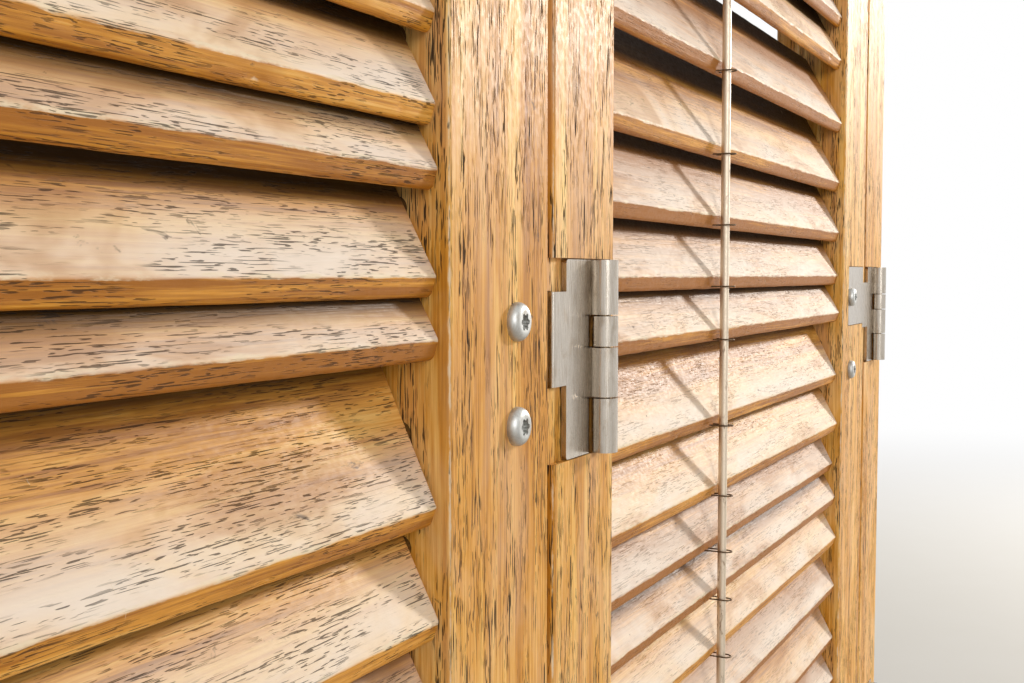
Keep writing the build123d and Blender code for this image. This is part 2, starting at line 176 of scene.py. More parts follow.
class StageLook(PropertyGroup):
    """Floor, lamps and camera."""

    floor: colour_property("Floor", "Painted floor", "#E8E5DF")
    floor_half: FloatProperty(name="Floor half", description="Half the floor's width", default=9,
                              unit="LENGTH")
    lamp: colour_property("Key lamp", "Colour of the key lamp", "#FFFAF2")
    key_power: FloatProperty(name="Key power", description="Power of the key lamp in watts", default=34)
    key_width: length_property("Key width", "Width of the key lamp", 240)
    fill_power: FloatProperty(name="Fill power", description="Power of the fill lamp in watts", default=34)
    fill_width: length_property("Fill width", "Width of the fill lamp", 1600)
    surround: FloatProperty(name="Surround", description="Strength of the even light", default=0.20)
    focal_length: FloatProperty(name="Focal length", description="Lens of the camera in millimetres",
                                default=42.1875)
    camera_place: FloatVectorProperty(name="Camera place", description="Where the camera stands",
                                      default=(-0.2614, -0.169, 0.02125), subtype="TRANSLATION")
    camera_heading: FloatProperty(name="Heading", description="The view's turn from along +X",
                                  default=math.radians(27.25), subtype="ANGLE")
    camera_pitch: FloatProperty(name="Pitch", description="How far the view dips",
                                default=math.radians(3.2), subtype="ANGLE")


# Meshes

HALF_CORNER = math.radians(22.5)  # half the angle of the sharp arrises of a slat's section
ARC_POINTS, RUN_POINTS = 7, (5, 12, 5, 18)  # on each corner of a slat's section, and between the corners
END_RINGS = 5  # in the rounding of a slat's end
PIVOT_RINGS, PIVOT_SIDES = 3, 20
PIVOT_ROOT = 3 * MM  # how far a pivot starts inside its slat
PIVOT_BEVEL = 0.1  # of the pivot's radius
BEND_POINTS, WIRE_SIDES = 19, 10
DENT_SPREAD = 1.6 * MM  # how far dents stray from the front arris
DENT_LENGTHS, DENT_WIDTHS = (0.8, 3.5), (0.4, 1.0)  # of the bells, in millimetres
WAVE_HEIGHT, WAVE_LENGTH, RUB_LENGTH = 0.12 * MM, 0.09, 0.11  # of the skin's waves and the arris's wear
END_DRAW = 0.8  # how much of a quarter round the ends are drawn in by
ARRIS_RUB, END_RUB = 0.35, 0.6  # how rubbed the other arrises and the ends are, where the front is 1; the pale rub on the arrises is also a painted highlight
COVER_FADE = 7 * MM  # below the slat above, where the grime and painted shade fade out
SUN_BEHIND, SUN_FADE, LEAST_SUN = 3 * MM, 16 * MM, 0.08  # how far behind the middle the bleach and painted sunlight start, over what depth they grow, and the least of them
UP_FROM = 0.7  # how far up a skin faces where the sun starts to bleach it and painted sunlight starts
UNDERSIDE_SHELTER_AND_SHADE = 0.8  # how much a skin that faces down is kept from the weather, and so how much more grime and painted shade it gets


def mesh_object(name, points, faces, sharp_angle=math.radians(38)):
    """A smooth-shaded object at the origin from an (n, 3) array of points and arrays of face indices."""
    mesh = bpy.data.meshes.new(name)
    mesh.from_pydata(points, [], [face for group in faces for face in group.tolist()])
    mesh.polygons.foreach_set("use_smooth", np.ones(len(mesh.polygons), bool))
    mesh.set_sharp_from_angle(angle=sharp_angle)
    mesh.update()
    item = bpy.data.objects.new(name, mesh)
    bpy.context.scene.collection.objects.link(item)
    return item


def grid_faces(rows, columns, first=0):
    """Quads of a tube of closed rings, row after row, with its two ends as single faces."""
    index = first + np.arange(rows * columns).reshape(rows, columns)
    turned = np.roll(index, -1, axis=1)
    quads = np.stack([index[:-1], turned[:-1], turned[1:], index[1:]], axis=-1).reshape(-1, 4)
    return [quads, index[:1, ::-1], index[-1:]]


def wander(x, rng, longest, count=9):
    """A smooth random line from 0 to 1: sines of falling length and height with random phases."""
    step = np.arange(1, count + 1)
    phase = rng.uniform(0, 2 * np.pi, count)
    waves = np.sin(2 * np.pi * np.multiply.outer(x, step) / longest + phase) / step ** 0.7
    total = waves.sum(axis=-1)
    return (total - total.min()) / (np.ptp(total) + 1e-9)


def slat_tilt(name, sizes):
    """A slat's angle from level, from the height of its CAD box.

    The rounding's centres stand at (along, out) and its opposite, so the height is twice
    their height plus twice the radius.
    """
    low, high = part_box(name)
    radius = sizes.round
    along = (sizes.face + sizes.thickness) / 2 - radius / math.tan(HALF_CORNER)
    out = sizes.thickness / 2 - radius
    height = (high.z - low.z) / 2 - radius
    return math.asin(height / math.hypot(along, out)) - math.atan2(out, along)


def slat_outline(sizes, front_radius):
    """Rounded parallelogram, one for each station: (along, out) points, normals, and 1 on the arcs.

    Each corner is an arc whose centre lies a radius inside both edges: corner - r (n0 + n1) / (1 + n0.n1).
    Straight runs between the arcs are divided evenly.
    """
    half, lead = sizes.face / 2, sizes.thickness / 2
    corners = np.array([
        (half - lead, lead), (half + lead, -lead), (lead - half, -lead), (-half - lead, lead)])
    ahead = np.roll(corners, -1, axis=0) - corners
    ahead /= np.linalg.norm(ahead, axis=1, keepdims=True)
    normals = np.stack([-ahead[:, 1], ahead[:, 0]], axis=1)
    before = np.roll(normals, 1, axis=0)
    radii = (front_radius, sizes.round, sizes.crisp, sizes.round)
    points, outward = [], []
    for number, corner in enumerate(corners):
        radius = np.broadcast_to(radii[number], front_radius.shape)[:, None, None]
        n0, n1 = before[number], normals[number]
        centre = corner - radius * (n0 + n1) / (1 + n0 @ n1)
        start = math.atan2(n0[1], n0[0])
        turn = math.atan2(n0[0] * n1[1] - n0[1] * n1[0], n0 @ n1)
        angle = start + turn * np.linspace(0, 1, ARC_POINTS)
        spoke = np.stack([np.cos(angle), np.sin(angle)], axis=1)
        points.append(centre + radius * spoke)
        outward.append(spoke)
    runs = []
    for number, count in enumerate(RUN_POINTS):
        first, last = points[number][:, -1:], points[(number + 1) % 4][:, :1]
        share = np.linspace(0, 1, count + 2)[1:-1, None]
        runs.append((first + (last - first) * share, np.tile(normals[number], (count, 1))))
    line = np.concatenate(
        [part for arc, run in zip(points, runs) for part in (arc, run[0])], axis=1)
    facing = np.concatenate([part for arc, run in zip(outward, runs) for part in (arc, run[1])])
    on_arc = np.concatenate([
        np.concatenate([np.ones(ARC_POINTS), np.zeros(count)]) for count in RUN_POINTS])
    return line, facing, on_arc


def slat_surface(name, sizes, seed, cover):
    """Points of one worn slat, and at each its rub with a painted highlight, its openness to rain and
    light, and its bleach with painted sunlight.

    The section is carried along X. Its front arris's radius wanders, its skin is pressed in by
    bell-shaped dents along the front, and towards each end every ring is drawn in by most of
    r - sqrt(r^2 - (r - d)^2), a quarter round. Rain and light reach what stands below cover, the lower
    side of the slat above; above it, and on faces that face down, lie soiling and painted shade. Sun
    bleaches what faces up, less and less from the front to the middle, and that share is also painted
    sunlight.
    """
    rng = np.random.default_rng(seed)
    low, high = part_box(name)
    pivot = JOINTS[name + "_tilt"]["pos_m"]
    tilt = slat_tilt(name, sizes)
    inset = sizes.pivot_length + sizes.end_gap
    x0, x1 = low.x + inset, high.x - inset
    even = np.linspace(-1, 1, sizes.stations)  # the sine below crowds the stations towards the ends
    end_steps = sizes.end_round * (1 - np.cos(np.linspace(0, np.pi / 2, END_RINGS, endpoint=False)))
    inner = x0 + sizes.end_round + (x1 - x0 - 2 * sizes.end_round) * (0.5 + 0.5 * np.sin(even * np.pi / 2))
    x = np.concatenate([x0 + end_steps, inner, x1 - end_steps[::-1]])
    front_radius = sizes.crisp + sizes.rub * wander(x, rng, RUB_LENGTH) ** 2
    line, facing, on_arc = slat_outline(sizes, front_radius)

    dent_x, dent_along, dent_long, dent_wide, depth = (draw[:, None, None] for draw in (
        rng.uniform(x0, x1, sizes.dents),
        (sizes.face - sizes.thickness) / 2 + rng.normal(0, DENT_SPREAD, sizes.dents),
        rng.uniform(*DENT_LENGTHS, sizes.dents) * MM,
        rng.uniform(*DENT_WIDTHS, sizes.dents) * MM,
        sizes.dent * rng.uniform(0.1, 1, sizes.dents) ** 2))
    outer = facing[:, 0] * 0.7 + facing[:, 1] > 0.2  # the face and the front, not the underside
    pressed = (depth * np.exp(-((x[None, :, None] - dent_x) / dent_long) ** 2
                              - ((line[None, :, :, 0] - dent_along) / dent_wide) ** 2)).sum(axis=0) * outer
    waves = WAVE_HEIGHT * wander(x, rng, WAVE_LENGTH)[:, None]
    from_end = np.minimum(np.minimum(x - x0, x1 - x), sizes.end_round)
    drawn = sizes.end_round - np.sqrt(np.maximum(
        sizes.end_round ** 2 - (sizes.end_round - from_end) ** 2, 0))
    line = line - facing * (pressed + waves + END_DRAW * drawn[:, None])[..., None]
    along, out = line[..., 0], line[..., 1]
    c, s = math.cos(tilt), math.sin(tilt)
    points = np.stack([np.broadcast_to(x[:, None], along.shape),
                       pivot[1] - along * c - out * s,
                       pivot[2] - along * s + out * c], axis=-1)

    # The pale rubbing on the arrises is also a painted highlight.
    front_arc = np.arange(len(on_arc)) < ARC_POINTS
    at_end = 1 - from_end[:, None] / sizes.end_round
    rubbed = np.clip(on_arc * (ARRIS_RUB + (1 - ARRIS_RUB) * front_arc) + pressed / sizes.dent
                     + END_RUB * at_end, 0, 1)
    # Below the slat above and on faces that face down the wood gets grime and painted shade.
    below_cover = np.clip((cover - points[..., 2]) / COVER_FADE, 0, 1)
    opened = below_cover * (1 - UNDERSIDE_SHELTER_AND_SHADE * np.clip(-facing[:, 1], 0, 1))
    # The sun share is both bleach and painted sunlight, least at the back of a face, in the slat above's
    # shadow.
    sun = np.clip((along + SUN_BEHIND) / SUN_FADE, LEAST_SUN, 1)
    skyward = np.clip((facing[:, 1] - UP_FROM) / (1 - UP_FROM), 0, 1) * sun
    return points, {"rubbed": rubbed, "opened": opened, "skyward": skyward}


def pivot_rings(x_from, x_to, centre, radius):
    """A cylinder along X as three rings of points, bevelled at its outer end."""
    angle = -np.linspace(0, 2 * np.pi, PIVOT_SIDES, endpoint=False)
    ring = np.stack([np.zeros(PIVOT_SIDES), radius * np.cos(angle), radius * np.sin(angle)], axis=1)
    base = np.array([0, centre[1], centre[2]])
    bevel = math.copysign(PIVOT_BEVEL * radius, x_to - x_from)
    steps = ((x_from, 1), (x_to - bevel, 1), (x_to, 1 - PIVOT_BEVEL))
    if x_to < x_from:
        steps = steps[::-1]
    return np.concatenate([base + ring * (1, scale, scale) + (x, 0, 0) for x, scale in steps])


def set_values(item, name, values):
    """Writes one number a point as a named attribute of the mesh."""
    attribute = item.data.attributes.new(name, "FLOAT", "POINT")
    attribute.data.foreach_set("value", np.asarray(values, np.float32).ravel())


def eye_surface(rod_x, rod_y, level, rod_radius, sizes):
    """Wire bent round the rod: a circle carried along two straight legs and half an ellipse between them.

    The legs run on past the rod's middle, so that the rod has room when the slats tilt.
    """
    side = rod_radius + sizes.room + sizes.wire / 2
    turn = np.linspace(0, np.pi, BEND_POINTS)
    nose = rod_y - sizes.lead - (sizes.reach - sizes.lead) * np.sin(turn)
    bend = np.stack([rod_x - side * np.cos(turn), nose], axis=1)
    legs = rod_y + sizes.bite * np.array([1.0, 0.5])
    left = np.stack([np.full(2, rod_x - side), legs], axis=1)
    right = np.stack([np.full(2, rod_x + side), legs[::-1]], axis=1)
    path = np.concatenate([left, bend, right])
    along = np.gradient(path, axis=0)
    along /= np.linalg.norm(along, axis=1, keepdims=True)
    across = np.stack([-along[:, 1], along[:, 0]], axis=1)
    angle = np.linspace(0, 2 * np.pi, WIRE_SIDES, endpoint=False)
    radius = sizes.wire / 2
    flat = path[:, None, :] + radius * np.cos(angle)[None, :, None] * across[:, None, :]
    height = np.broadcast_to(level + radius * np.sin(angle), flat.shape[:2])
    return np.concatenate([flat, height[..., None]], axis=-1)


# Materials

FACTOR, FLOAT_A, FLOAT_B, COLOUR_A, COLOUR_B, MIXED_COLOUR = 0, 2, 3, 6, 7, 2  # sockets of a mix node
RAMP = ("Value", "From Min", "From Max", "To Min", "To Max")
SMOOTH = {"interpolation_type": "SMOOTHSTEP"}
WHITE = (1, 1, 1, 1)
# Where the slats look other than the stiles, rails and frame. A pore shows where its noise is high.
SLAT_WEAR = {"long pore width": 0.8, "long pores from": 0.63, "heart to": 0.36, "blotches": 0.4}
BOARD_WEAR = {"long pore width": 1.5, "long pores from": 0.60, "heart to": 0.32, "blotches": 0.2}
LONG_PORE = 2.4  # length of the long pores over the short ones'
GOLD_AT, STRAW_FROM = 0.48, 0.63  # places of the two paler colours in the figure
VARNISH_IOR, PORE_ROUGHNESS = 1.38, 0.5  # old varnish shines less than new, and dirt in the pores is dull
BOARD_BLEACH, SLAT_BLEACH, PATCH_BLEACH = 0.16, 0.6, 0.35  # shares of bleached wood; on the slats' tops it is also painted sunlight
FIBRE_SHARE = 0.42  # of the fine streaks in the figure
SKY_PALER, UNDER_DARKER, TONE_SPREAD = 0.16, -0.27, 0.22  # shifts of a slat's figure toward straw: paler where it faces up and darker elsewhere, partly sun-bleaching and partly painted sunlight and shade, and a random tone per slat
ARRIS_REACH, ARRIS_BREAK = 1.9 * MM, -0.4 * MM  # how far the rubbing and its painted highlight reach in from an arris, and where they break off


def add(tree, kind, sockets=None, **settings):
    """Adds a node with its settings, and sets or links each input. A node stands for its first output."""
    node = tree.nodes.new(kind)
    for name, value in settings.items():
        setattr(node, name, value)
    for key, value in (sockets or {}).items():
        if isinstance(value, bpy.types.Node):
            value = value.outputs[0]
        if isinstance(value, bpy.types.NodeSocket):
            tree.links.new(value, node.inputs[key])
        else:
            node.inputs[key].default_value = value
    return node


def add_each(tree, kind, inputs, rows, **settings):
    """Adds one node of a kind for each named row of values of its inputs, and gives the nodes by name."""
    return {name: add(tree, kind, dict(zip(inputs, row)), **settings) for name, row in rows.items()}


def empty_material(name):
    """A material with no shader yet, its node tree, and the place on the object in metres."""
    material = bpy.data.materials.new(name)
    material.use_nodes = True
    tree = material.node_tree
    tree.nodes.clear()
    return material, tree, add(tree, "ShaderNodeTexCoord").outputs["Object"]


def finish_surface(tree, height, sockets):
    """The shader with its inputs, under a bump of a height in metres."""
    bump = add(tree, "ShaderNodeBump", {"Strength": 1.0, "Distance": 1.0, "Height": height})
    shader = add(tree, "ShaderNodeBsdfPrincipled", {**sockets, "Normal": bump})
    add(tree, "ShaderNodeOutputMaterial", {"Surface": shader})


def patterns_in(tree, place, wanted):
    """Noise of each wanted pattern: name: (size along X, Y, Z in metres, detail, roughness, distortion)."""
    made = {}
    for name, (size, detail, roughness, distortion) in wanted.items():
        scaled = add(tree, "ShaderNodeVectorMath", {0: place, 1: tuple(1 / length for length in size)},
                     operation="MULTIPLY")
        made[name] = add(tree, "ShaderNodeTexNoise", {
            "Vector": scaled, "Scale": 1, "Detail": detail, "Roughness": roughness,
            "Distortion": distortion})
    return made


def arris_wear_and_highlight(tree, place, low, high, ragged):
    """1 on the long arrises of a box and 0 away from them, with a ragged edge: pale worn wood that is also
    a painted highlight.

    |p - centre| - half is 0 on a face and negative inside it, so the second largest of its three
    parts is how far the nearest arris is.
    """
    centre = tuple((a + b) / 2 for a, b in zip(low, high))
    half = tuple((b - a) / 2 for a, b in zip(low, high))
    offset = add(tree, "ShaderNodeVectorMath", {0: place, 1: centre}, operation="SUBTRACT")
    size = add(tree, "ShaderNodeVectorMath", {0: offset}, operation="ABSOLUTE")
    depth = add(tree, "ShaderNodeVectorMath", {0: size, 1: half}, operation="SUBTRACT")
    x, y, z = add(tree, "ShaderNodeSeparateXYZ", {0: depth}).outputs
    xy, yz, xz = (add(tree, "ShaderNodeMath", {0: a, 1: b}, operation="MINIMUM")
                  for a, b in ((x, y), (y, z), (x, z)))
    nearer = add(tree, "ShaderNodeMath", {0: xy, 1: yz}, operation="MAXIMUM")
    nearest = add(tree, "ShaderNodeMath", {0: nearer, 1: xz}, operation="MAXIMUM")
    reach = add(tree, "ShaderNodeMath", {0: ragged, 1: ARRIS_REACH, 2: ARRIS_BREAK},
                operation="MULTIPLY_ADD")
    share = add(tree, "ShaderNodeMath", {0: nearest, 1: reach}, operation="DIVIDE")
    return add(tree, "ShaderNodeMapRange", dict(zip(RAMP, (share, -1.0, -0.25, 0.0, 1.0))), **SMOOTH)


def weathered_hardwood(name, look, grain, box=None):
    """Open-pored varnished hardwood, such as iroko, planed along the grain and left in the sun.

    The eye sees broad gold and brown streaks, fine fibres, black muck in short open pores, varnish
    that the sun has paled, soiling where rain doesn't wash, and pale worn arrises. On the slats the pale
    tops are also painted sunlight, the other faces painted shade, the soiling under the slat above also
    painted shade, and the pale arrises everywhere also a painted highlight. grain is the axis it runs
    along.
    Slats bring their own wear as attributes, and other pieces wear along the arrises of box.
    """
    material, tree, place = empty_material(name)
    slatted = box is None
    wear = SLAT_WEAR if slatted else BOARD_WEAR

    def along(length, width):
        return tuple(length if axis == grain else width for axis in range(3))

    noise = patterns_in(tree, place, {
        "figure": (along(look.figure_length, look.figure_width), 3, 0.55, 0.4),
        "fibre": (along(look.fibre_length, look.fibre_width), 3, 0.6, 0.2),
        "pores": (along(look.pore_length, look.pore_width), 1.2, 0.5, 0),
        "long pores": (along(look.pore_length * LONG_PORE, look.pore_width * wear["long pore width"]),
                       1.0, 0.5, 0),
        "clusters": (along(0.030, 0.0042), 2, 0.5, 0),
        "patches": (along(0.055, 0.022), 4, 0.6, 0.6),
        "stains": (along(0.0085, 0.0042), 4, 0.65, 0.5),
        "ragged": (along(0.0070, 0.0022), 4, 0.65, 0),
        "scuffs": (along(0.0045, 0.0110), 5, 0.7, 1.5),
        "haze": (along(0.0016, 0.0012), 2, 0.5, 0),
    })
    masks = add_each(tree, "ShaderNodeMapRange", RAMP, {
        "pores": (noise["pores"], 0.61, 0.66, 0.0, 0.9),
        "long pores": (noise["long pores"], wear["long pores from"], wear["long pores from"] + 0.05,
                       0.0, 0.95),
        "clusters": (noise["clusters"], 0.38, 0.58, 0.0, 1.0),
        "stains": (noise["stains"], 0.66, 0.76, 0.0, 0.75),
        "patches": (noise["patches"], 0.38, 0.66, 0.0, 1.0),
        "blotches": (noise["patches"], 0.34, 0.48, wear["blotches"], 0.0),
        "scuffs": (noise["scuffs"], 0.70, 0.78, 0.0, 0.8),
    }, **SMOOTH)
    streaks = add(tree, "ShaderNodeMix", {
        FACTOR: FIBRE_SHARE, FLOAT_A: noise["figure"], FLOAT_B: noise["fibre"]})
    pores = add(tree, "ShaderNodeMath", {0: masks["pores"], 1: masks["long pores"]}, operation="MAXIMUM")
    pores = add(tree, "ShaderNodeMath", {0: pores, 1: masks["clusters"]}, operation="MULTIPLY")
    dirt = []
    if slatted:
        rubbed, opened, skyward, tone, pitted = (
            add(tree, "ShaderNodeAttribute", attribute_name=title).outputs["Fac"]
            for title in ("rubbed", "opened", "skyward", "tone", "pitted"))
        # Ragged pale arrises: rubbing, and a painted highlight along them.
        torn_and_highlit = add(tree, "ShaderNodeMath", {0: rubbed, 1: noise["ragged"]}, operation="MULTIPLY")
        # Grime with painted shade below the slat above and on faces that face down.
        made = add_each(tree, "ShaderNodeMapRange", RAMP, {
            "worn": (torn_and_highlit, 0.40, 0.66, 0.0, 0.85),
            "dirt": (opened, 0.05, 0.75, 0.9, 0.0),
        }, **SMOOTH)
        worn = made["worn"]
        dirt.append((made["dirt"], look.grime_and_shade))
        # Faces turned up are paler and the rest darker: sun-bleaching, and painted sunlight and shade.
        shift = add(tree, "ShaderNodeMath", {0: skyward, 1: SKY_PALER, 2: UNDER_DARKER},
                    operation="MULTIPLY_ADD")
        shift = add(tree, "ShaderNodeMath", {0: tone, 1: TONE_SPREAD, 2: shift}, operation="MULTIPLY_ADD")
        streaks = add(tree, "ShaderNodeMath", {0: streaks, 1: shift}, operation="ADD")
        pores = add(tree, "ShaderNodeMath", {0: pores, 1: pitted}, operation="MULTIPLY")
        # The bleached colour on the slats' tops is also painted sunlight.
        bleach = add(tree, "ShaderNodeMath", {0: masks["patches"], 1: PATCH_BLEACH, 2: SLAT_BLEACH},
                     operation="MULTIPLY_ADD")
        bleach = add(tree, "ShaderNodeMath", {0: bleach, 1: skyward}, operation="MULTIPLY")
        bleach = add(tree, "ShaderNodeMath", {0: bleach, 1: opened}, operation="MULTIPLY")
    else:
        # Pale arrises of the boards: rubbing, and a painted highlight along them.
        worn = arris_wear_and_highlight(tree, place, *box, noise["ragged"])
        bleach = add(tree, "ShaderNodeMath", {0: masks["patches"], 1: BOARD_BLEACH}, operation="MULTIPLY")

    figure = add(tree, "ShaderNodeValToRGB", {0: streaks})
    dark, pale = figure.color_ramp.elements
    dark.position, dark.color = wear["heart to"], look.heart
    pale.position, pale.color = STRAW_FROM, look.straw
    figure.color_ramp.elements.new(GOLD_AT).color = look.gold
    colour = figure
    # Layers: bleach with painted sunlight, blotches, grime with painted shade, scuffs, pale arrises with a
    # painted highlight, stains and pores.
    for share, paint in ((bleach, look.bleached), (masks["blotches"], look.heart), *dirt,
                         (masks["scuffs"], look.bare_and_highlight), (worn, look.bare_and_highlight), (masks["stains"], look.pore),
                         (pores, look.pore)):
        colour = add(tree, "ShaderNodeMix", {FACTOR: share, COLOUR_A: colour, COLOUR_B: paint},
                     data_type="RGBA").outputs[MIXED_COLOUR]

    # Varnish shines between the pores and is dull where the sun has taken it.
    rough = add_each(tree, "ShaderNodeMapRange", RAMP, {
        "dull": (bleach, 0.0, 1.0, 0.48, 0.64),
        "mottle": (noise["haze"], 0.3, 0.7, -0.05, 0.07),
    }, **SMOOTH)
    rough = add(tree, "ShaderNodeMath", {0: rough["dull"], 1: rough["mottle"]}, operation="ADD")
    rough = add(tree, "ShaderNodeMath", {0: pores, 1: PORE_ROUGHNESS, 2: rough}, operation="MULTIPLY_ADD")

    # Open pores, raised fibres and the rubbed arrises' low spots.
    height = add(tree, "ShaderNodeMath", {0: pores, 1: -look.pore_depth}, operation="MULTIPLY")
    for layer, rise in ((noise["fibre"], 0.10 * MM), (noise["haze"], 0.03 * MM), (worn, -0.05 * MM),
                        (noise["patches"], 0.35 * MM)):
        height = add(tree, "ShaderNodeMath", {0: layer, 1: rise, 2: height}, operation="MULTIPLY_ADD")
    finish_surface(tree, height, {"Base Color": colour, "Roughness": rough, "IOR": VARNISH_IOR})
    return material


def brushed_metal(name, look, colour, roughness, brushed, tarnished):
    """Plated steel brushed up and down: fine upright lines, a little brown tarnish, a soft shine."""
    material, tree, place = empty_material(name)
    noise = patterns_in(tree, place, {
        "brush": ((look.brush_width, look.brush_width, look.brush_length), 2, 0.6, 0),
        "tarnish": ((0.0035, 0.0035, 0.0060), 4, 0.65, 0.3),
        "specks": ((0.0006, 0.0006, 0.0009), 2, 0.5, 0),
    })
    made = add_each(tree, "ShaderNodeMapRange", RAMP, {
        "tarnish": (noise["tarnish"], 0.50, 0.78, 0.0, tarnished),
        "specks": (noise["specks"], 0.70, 0.78, 0.0, tarnished),
        "lines": (noise["brush"], 0.60, 0.30, 0.0, 0.5 * tarnished),
        "rough": (noise["brush"], 0.25, 0.75, roughness - 0.07, roughness + 0.10),
    }, **SMOOTH)
    for key in ("tarnish", "specks", "lines"):
        colour = add(tree, "ShaderNodeMix", {FACTOR: made[key], COLOUR_A: colour, COLOUR_B: look.tarnish},
                     data_type="RGBA").outputs[MIXED_COLOUR]
    rough = add(tree, "ShaderNodeMath", {0: made["tarnish"], 1: 0.25, 2: made["rough"]},
                operation="MULTIPLY_ADD")
    height = add(tree, "ShaderNodeMath", {0: noise["brush"], 1: brushed}, operation="MULTIPLY")
    finish_surface(tree, height, {"Base Color": colour, "Metallic": 1.0, "Roughness": rough})
    return material


def dull_galvanised(name, base, film, share):
    """Old galvanised wire: grey zinc that still shines a little under patches of brown film."""
    material, tree, place = empty_material(name)
    noise = patterns_in(tree, place, {
        "film": ((0.0030, 0.0030, 0.0075), 4, 0.7, 0.4),
        "grit": ((0.0005, 0.0005, 0.0008), 2, 0.5, 0),
    })
    made = add_each(tree, "ShaderNodeMapRange", RAMP, {
        "film": (noise["film"], 0.66 - 0.3 * share, 0.80 - 0.3 * share, 0.0, 1.0),
        "rough": (noise["grit"], 0.3, 0.7, 0.42, 0.60),
    }, **SMOOTH)
    colour = add(tree, "ShaderNodeMix", {FACTOR: made["film"], COLOUR_A: base, COLOUR_B: film},
                 data_type="RGBA").outputs[MIXED_COLOUR]
    bright = add(tree, "ShaderNodeMath", {0: made["film"], 1: -0.8, 2: 0.9}, operation="MULTIPLY_ADD")
    height = add(tree, "ShaderNodeMath", {0: noise["grit"], 1: 0.04 * MM}, operation="MULTIPLY")
    finish_surface(tree, height, {"Base Color": colour, "Metallic": bright, "Roughness": made["rough"]})
    return material


def dress(node, material):
    """Puts one material in every slot of a CAD node."""
    slots = NODES[node].material_slots
    if not slots:
        NODES[node].data.materials.append(material)
    for slot in slots:
        slot.material = material


def white_when_seen(tree, shader, share):
    """The shader, turned plain white by a share for rays from the camera, mirrors and glass."""
    rays = add(tree, "ShaderNodeLightPath").outputs
    seen = add(tree, "ShaderNodeMath", {0: rays["Is Camera Ray"], 1: rays["Is Glossy Ray"]},
               operation="MAXIMUM")
    seen = add(tree, "ShaderNodeMath", {0: seen, 1: rays["Is Transmission Ray"]}, operation="MAXIMUM")
    seen = add(tree, "ShaderNodeMath", {0: seen, 1: share}, operation="MULTIPLY")
    white = add(tree, "ShaderNodeEmission", {"Color": WHITE, "Strength": 1.0})
    return add(tree, "ShaderNodeMixShader", {0: seen, 1: shader, 2: white})


# Operators

class SHUTTERS_OT_slats(Operator):
    """Makes the worn slats in place of the plain ones"""

    bl_idname = "shutters.slats"
    bl_label = "Slats"

    def execute(self, context):
        sizes, look = context.scene.shutter_slats, context.scene.shutter_wood
        if not SLATS:
            raise RuntimeError("the frame has no slats")
        wood = weathered_hardwood("slat_iroko", look, grain=0)
        for number, name in enumerate(SLATS):
            side, order = name.rsplit("_", 1)
            above = f"{side}_{int(order) - 1:02d}"
            rail = side.replace("slat", "leaf_top_rail")
            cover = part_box(above)[0].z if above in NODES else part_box(rail)[0].z
            points, masks = slat_surface(name, sizes, sizes.seed + number, cover)
            rows, columns = points.shape[:2]
            blade = points.reshape(-1, 3)
            low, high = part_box(name)
            pivot = JOINTS[name + "_tilt"]["pos_m"]
            ends = [pivot_rings(blade[0, 0] + PIVOT_ROOT, low.x, pivot, sizes.pivot / 2),
                    pivot_rings(blade[-1, 0] - PIVOT_ROOT, high.x, pivot, sizes.pivot / 2)]
            faces = grid_faces(rows, columns)
            for count, end in enumerate(ends):
                faces += grid_faces(PIVOT_RINGS, PIVOT_SIDES, first=len(blade) + len(end) * count)
            piece = mesh_object("worn_" + name, np.concatenate([blade, *ends]), faces)
            tone = np.random.default_rng(number).uniform(0, 1)
            masks["tone"] = np.full(len(blade), tone)
            masks["pitted"] = np.full(
                len(blade), look.pitted_left if side.startswith("left") else look.pitted_right)
            for title, values in masks.items():
                on_pivots = np.full(2 * PIVOT_RINGS * PIVOT_SIDES, tone if title == "tone" else 0)
                set_values(piece, title, np.concatenate([np.ravel(values), on_pivots]))
            piece.data.materials.append(wood)
            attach(piece, name)
            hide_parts(name)
        return {"FINISHED"}


class SHUTTERS_OT_rod_eyes(Operator):
    """Makes the wire eye that holds each slat to its control rod"""

    bl_idname = "shutters.rod_eyes"
    bl_label = "Rod eyes"

    def execute(self, context):
        sizes = context.scene.shutter_eyes
        look = context.scene.shutter_metal
        wire = dull_galvanised("blackened_wire", look.wire, look.oxide, share=0.3)
        for name in SLATS:
            low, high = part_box(name.split("_slat_")[0] + "_control_rod")
            rod_x, rod_y = (low.x + high.x) / 2, (low.y + high.y) / 2
            level = JOINTS[name + "_tilt"]["pos_m"][2] - sizes.drop
            points = eye_surface(rod_x, rod_y, level, (high.x - low.x) / 2, sizes)
            rows, columns = points.shape[:2]
            piece = mesh_object("rod_eye_" + name, points.reshape(-1, 3), grid_faces(rows, columns))
            piece.data.materials.append(wire)
            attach(piece, name)
        return {"FINISHED"}


class SHUTTERS_OT_woodwork(Operator):
    """Gives the stiles, rails and frame their wood"""

    bl_idname = "shutters.woodwork"
    bl_label = "Woodwork"

    def execute(self, context):
        look = context.scene.shutter_wood
        for names, grain in ((UPRIGHTS, 2), (RAILS, 0)):
            for name in names:
                box = tuple(tuple(corner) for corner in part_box(name))
                dress(name, weathered_hardwood("iroko_" + name, look, grain, box))
        return {"FINISHED"}


